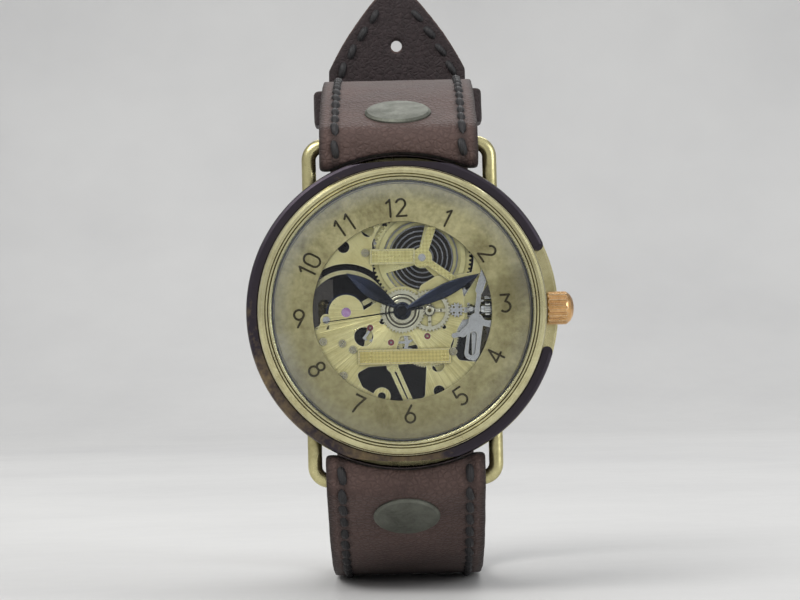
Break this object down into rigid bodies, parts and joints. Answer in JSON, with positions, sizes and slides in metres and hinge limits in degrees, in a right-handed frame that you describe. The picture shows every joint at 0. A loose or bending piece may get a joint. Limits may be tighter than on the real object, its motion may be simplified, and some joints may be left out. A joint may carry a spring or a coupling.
{
  "type": "skeleton wristwatch",
  "caption": "Round brass skeleton wristwatch with a numbered ring dial, a hand-wound movement on show and a stitched leather strap closed in a loop.",
  "frame": {"origin": "centre of the case back, on its outer flat ring", "axes": "+Y out of the case back into the wrist, +Z toward 12 o'clock, +X toward the crown at 3 o'clock"},
  "size_m": [0.0414, 0.0665, 0.0848],
  "materials": {
    "case_middle": "aged satin brass",
    "bezel": "aged satin brass",
    "crystal": "clear",
    "crystal_gasket": "matt",
    "guard_ring": "blackened, worn to bronze",
    "back_ring": "aged satin brass",
    "back_glass": "clear",
    "lug_upper": "aged satin brass",
    "lug_lower": "aged satin brass",
    "crown_tube": "polished steel",
    "crown": "polished copper tone",
    "crown_gasket": "matt",
    "stem": "polished steel",
    "dial_ring": "matt brushed brass",
    "movement_ring": "satin",
    "hour_hand": "blued black",
    "minute_hand": "blued black",
    "seconds_hand": "black",
    "main_plate": "gilt brass",
    "barrel_bridge": "gilt brass",
    "train_bridge": "gilt brass",
    "balance_cock": "gilt brass",
    "pallet_bridge": "gilt brass",
    "upper_bridge": "gilt brass",
    "lower_bar": "gilt brass",
    "barrel_drum": "gilt brass",
    "mainspring": "grey spring steel",
    "barrel_arbor": "polished steel",
    "ratchet_wheel": "polished steel",
    "crown_wheel": "polished steel",
    "click": "polished steel",
    "centre_wheel": "gilt brass",
    "third_wheel": "gilt brass",
    "fourth_wheel": "gilt brass",
    "escape_wheel": "polished",
    "pallet_fork": "polished steel",
    "balance_wheel": "gilt brass",
    "hairspring": "blued",
    "hairspring_stud": "polished steel",
    "balance_jewels": "ruby",
    "train_jewels": "ruby",
    "cannon_pinion": "polished steel",
    "minute_wheel": "gilt brass",
    "hour_wheel": "gilt brass",
    "setting_wheel": "gilt brass",
    "sliding_pinion": "polished steel",
    "winding_pinion": "polished steel",
    "setting_lever": "polished steel",
    "yoke": "polished steel",
    "keyless_cover": "polished steel",
    "movement_screws": "polished steel",
    "strap_upper": "dull grained",
    "strap_lower": "dull grained",
    "strap_snaps": "dull grey",
    "buckle_frame": "aged satin brass",
    "buckle_prong": "aged satin brass",
    "fixed_keeper": "dull grained",
    "free_keeper": "dull grained"
  },
  "bodies": {
    "case": {"case_middle": "case_middle", "bezel": "bezel", "crystal": "crystal", "crystal_gasket": "crystal_gasket", "guard_ring": "guard_ring", "back_ring": "back_ring", "back_glass": "back_glass", "lug_upper": "lug_upper", "lug_lower": "lug_lower", "crown_tube": "crown_tube", "dial_ring": "dial_ring", "movement_ring": "movement_ring", "main_plate": "main_plate", "barrel_bridge": "barrel_bridge", "train_bridge": "train_bridge", "balance_cock": "balance_cock", "pallet_bridge": "pallet_bridge", "upper_bridge": "upper_bridge", "lower_bar": "lower_bar", "hairspring_stud": "hairspring_stud", "balance_jewels": "balance_jewels", "train_jewels": "train_jewels", "keyless_cover": "keyless_cover", "movement_screws": "movement_screws", "strap_upper": "strap_upper", "strap_lower": "strap_lower", "strap_snaps": "strap_snaps", "fixed_keeper": "fixed_keeper"},
    "minute_work": {"minute_hand": "minute_hand", "centre_wheel": "centre_wheel", "cannon_pinion": "cannon_pinion"},
    "hour_work": {"hour_hand": "hour_hand", "hour_wheel": "hour_wheel"},
    "seconds_work": {"seconds_hand": "seconds_hand", "fourth_wheel": "fourth_wheel"},
    "minute_wheel": {"minute_wheel": "minute_wheel"},
    "setting_wheel": {"setting_wheel": "setting_wheel"},
    "third_wheel": {"third_wheel": "third_wheel"},
    "escape_wheel": {"escape_wheel": "escape_wheel"},
    "barrel": {"barrel_drum": "barrel_drum", "mainspring": "mainspring"},
    "ratchet": {"ratchet_wheel": "ratchet_wheel", "barrel_arbor": "barrel_arbor"},
    "crown_wheel": {"crown_wheel": "crown_wheel"},
    "click": {"click": "click"},
    "pallet_fork": {"pallet_fork": "pallet_fork"},
    "balance": {"balance_wheel": "balance_wheel", "hairspring": "hairspring"},
    "winding_pinion": {"winding_pinion": "winding_pinion"},
    "crown": {"crown": "crown", "crown_gasket": "crown_gasket", "stem": "stem"},
    "clutch": {"sliding_pinion": "sliding_pinion"},
    "setting_lever": {"setting_lever": "setting_lever"},
    "yoke": {"yoke": "yoke"},
    "buckle_frame": {"buckle_frame": "buckle_frame"},
    "buckle_prong": {"buckle_prong": "buckle_prong"},
    "free_keeper": {"free_keeper": "free_keeper"}
  },
  "joints": [
    {"name": "minute_hand_turn", "type": "hinge", "parent": "case", "child": "minute_work", "pos_m": [0, -0.007, 0], "axis": [0, 1, 0], "continuous": true},
    {"name": "hour_hand_turn", "type": "hinge", "parent": "case", "child": "hour_work", "pos_m": [0, -0.0065, 0], "axis": [0, 1, 0], "continuous": true},
    {"name": "seconds_hand_turn", "type": "hinge", "parent": "case", "child": "seconds_work", "pos_m": [0, -0.005, 0], "axis": [0, 1, 0], "continuous": true},
    {"name": "minute_wheel_turn", "type": "hinge", "parent": "case", "child": "minute_wheel", "pos_m": [0.0034, -0.0055, 0], "axis": [0, 1, 0], "continuous": true},
    {"name": "setting_wheel_turn", "type": "hinge", "parent": "case", "child": "setting_wheel", "pos_m": [0.0068, -0.005, 0], "axis": [0, 1, 0], "continuous": true},
    {"name": "third_wheel_turn", "type": "hinge", "parent": "case", "child": "third_wheel", "pos_m": [0.00307, -0.0023, -0.0032], "axis": [0, 1, 0], "continuous": true},
    {"name": "escape_wheel_turn", "type": "hinge", "parent": "case", "child": "escape_wheel", "pos_m": [-0.0015, -0.0034, -0.0039], "axis": [0, 1, 0], "continuous": true},
    {"name": "barrel_turn", "type": "hinge", "parent": "case", "child": "barrel", "pos_m": [0.0026, -0.0036, 0.00666], "axis": [0, 1, 0], "continuous": true},
    {"name": "crown_turn", "type": "hinge", "parent": "case", "child": "winding_pinion", "pos_m": [0.0106, -0.0034, 0], "axis": [1, 0, 0], "continuous": true},
    {"name": "crown_wheel_turn", "type": "hinge", "parent": "case", "child": "crown_wheel", "pos_m": [0.0077, -0.0016, 0], "axis": [0, 1, 0], "continuous": true},
    {"name": "ratchet_turn", "type": "hinge", "parent": "case", "child": "ratchet", "pos_m": [0.0026, -0.0016, 0.00666], "axis": [0, 1, 0], "continuous": true},
    {"name": "crown_pull", "type": "slide", "parent": "winding_pinion", "child": "crown", "axis": [1, 0, 0], "range_m": [0, 0.0008]},
    {"name": "clutch_slide", "type": "slide", "parent": "winding_pinion", "child": "clutch", "axis": [1, 0, 0], "range_m": [-0.0008, 0]},
    {"name": "setting_lever_turn", "type": "hinge", "parent": "case", "child": "setting_lever", "pos_m": [0.0123, -0.0041, 0.0032], "axis": [0, 1, 0], "range_deg": [-14.4, 0]},
    {"name": "yoke_turn", "type": "hinge", "parent": "case", "child": "yoke", "pos_m": [0.009, -0.0034, -0.0074], "axis": [0, 1, 0], "range_deg": [-7, 0]},
    {"name": "click_turn", "type": "hinge", "parent": "case", "child": "click", "pos_m": [-0.00338, -0.0016, 0.01011], "axis": [0, 1, 0], "range_deg": [-4, 0], "stiffness_Nm_per_rad": 0.00002},
    {"name": "pallet_swing", "type": "hinge", "parent": "case", "child": "pallet_fork", "pos_m": [-0.00407, -0.0034, -0.002], "axis": [0, 1, 0], "range_deg": [-5, 5]},
    {"name": "balance_swing", "type": "hinge", "parent": "case", "child": "balance", "pos_m": [-0.00704, -0.0023, 0], "axis": [0, 1, 0], "range_deg": [-270, 270], "stiffness_Nm_per_rad": 0.0000004, "deforming": ["hairspring"]},
    {"name": "buckle_frame_turn", "type": "hinge", "parent": "case", "child": "buckle_frame", "pos_m": [0, 0.04919, 0.00211], "axis": [1, 0, 0], "range_deg": [0, 8]},
    {"name": "buckle_prong_turn", "type": "hinge", "parent": "case", "child": "buckle_prong", "pos_m": [0, 0.04919, 0.00211], "axis": [1, 0, 0], "range_deg": [0, 8]},
    {"name": "free_keeper_slide", "type": "slide", "parent": "case", "child": "free_keeper", "axis": [0, 0, 1], "range_m": [0, 0.005]}
  ],
  "couplings": [
    {"joint": "hour_hand_turn", "follows": "minute_hand_turn", "ratio": 0.083333},
    {"joint": "minute_wheel_turn", "follows": "minute_hand_turn", "ratio": -0.33333},
    {"joint": "setting_wheel_turn", "follows": "minute_hand_turn", "ratio": 1},
    {"joint": "third_wheel_turn", "follows": "minute_hand_turn", "ratio": -8},
    {"joint": "seconds_hand_turn", "follows": "minute_hand_turn", "ratio": 60},
    {"joint": "escape_wheel_turn", "follows": "minute_hand_turn", "ratio": -600},
    {"joint": "barrel_turn", "follows": "minute_hand_turn", "ratio": -0.16667},
    {"joint": "crown_wheel_turn", "follows": "crown_turn", "ratio": -0.56667},
    {"joint": "ratchet_turn", "follows": "crown_turn", "ratio": 0.28333},
    {"joint": "clutch_slide", "follows": "crown_pull", "ratio": -1},
    {"joint": "setting_lever_turn", "follows": "crown_pull", "rad_per_m": -312.5},
    {"joint": "yoke_turn", "follows": "crown_pull", "rad_per_m": -150.4},
    {"joint": "buckle_prong_turn", "follows": "buckle_frame_turn", "ratio": 1}
  ]
}
